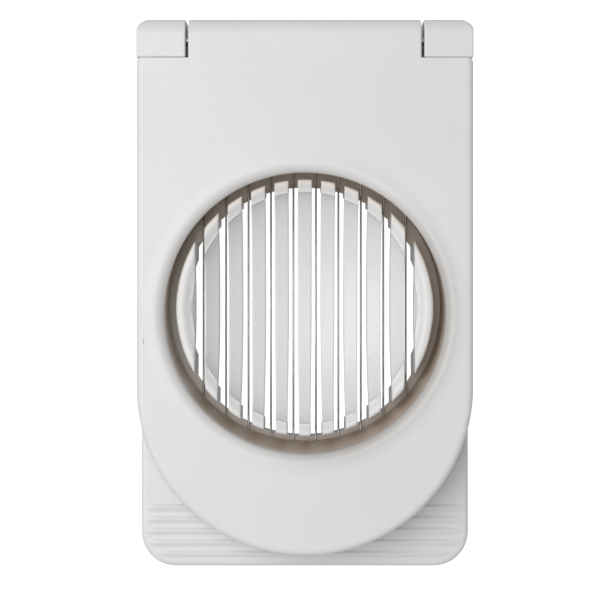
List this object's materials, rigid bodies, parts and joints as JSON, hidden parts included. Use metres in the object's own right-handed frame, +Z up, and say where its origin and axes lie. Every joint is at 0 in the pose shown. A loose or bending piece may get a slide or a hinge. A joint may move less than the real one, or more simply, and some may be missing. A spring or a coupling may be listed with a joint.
{
  "type": "egg slicer",
  "caption": "Hand-held egg slicer: ribbed base with a slotted round cup, and a hinged D-shaped lid whose round opening carries parallel steel cutting wires.",
  "frame": {"origin": "bottom centre of the whole slicer, on the surface that it stands on", "axes": "+Z up, +Y towards the hinge, +X to the right seen from above with the hinge at the top"},
  "size_m": [0.083, 0.137, 0.0302],
  "materials": {
    "shell_plastic": "smooth satin-gloss white plastic",
    "cup_plastic": "smooth satin-gloss white plastic",
    "carrier_plastic": "satin off-white plastic",
    "wire_steel": "drawn stainless steel wire",
    "pin_steel": "ground stainless steel",
    "foot_pad": "soft pale rubber"
  },
  "bodies": {
    "base": {"base_body": "shell_plastic", "egg_cradle": "cup_plastic", "foot_front_left": "foot_pad", "foot_front_right": "foot_pad", "foot_back_left": "foot_pad", "foot_back_right": "foot_pad", "hinge_pin_left": "pin_steel", "hinge_pin_right": "pin_steel"},
    "lid": {"lid_frame": "shell_plastic", "wire_carrier": "carrier_plastic", "wire_clamp_ring": "carrier_plastic", "wire_01": "wire_steel", "wire_02": "wire_steel", "wire_03": "wire_steel", "wire_04": "wire_steel", "wire_05": "wire_steel", "wire_06": "wire_steel", "wire_07": "wire_steel", "wire_08": "wire_steel", "wire_09": "wire_steel", "wire_10": "wire_steel"}
  },
  "joints": [
    {"name": "lid_hinge", "type": "hinge", "parent": "base", "child": "lid", "pos_m": [0, 0.0636, 0.0251], "axis": [-1, 0, 0], "range_deg": [0, 105]}
  ]
}
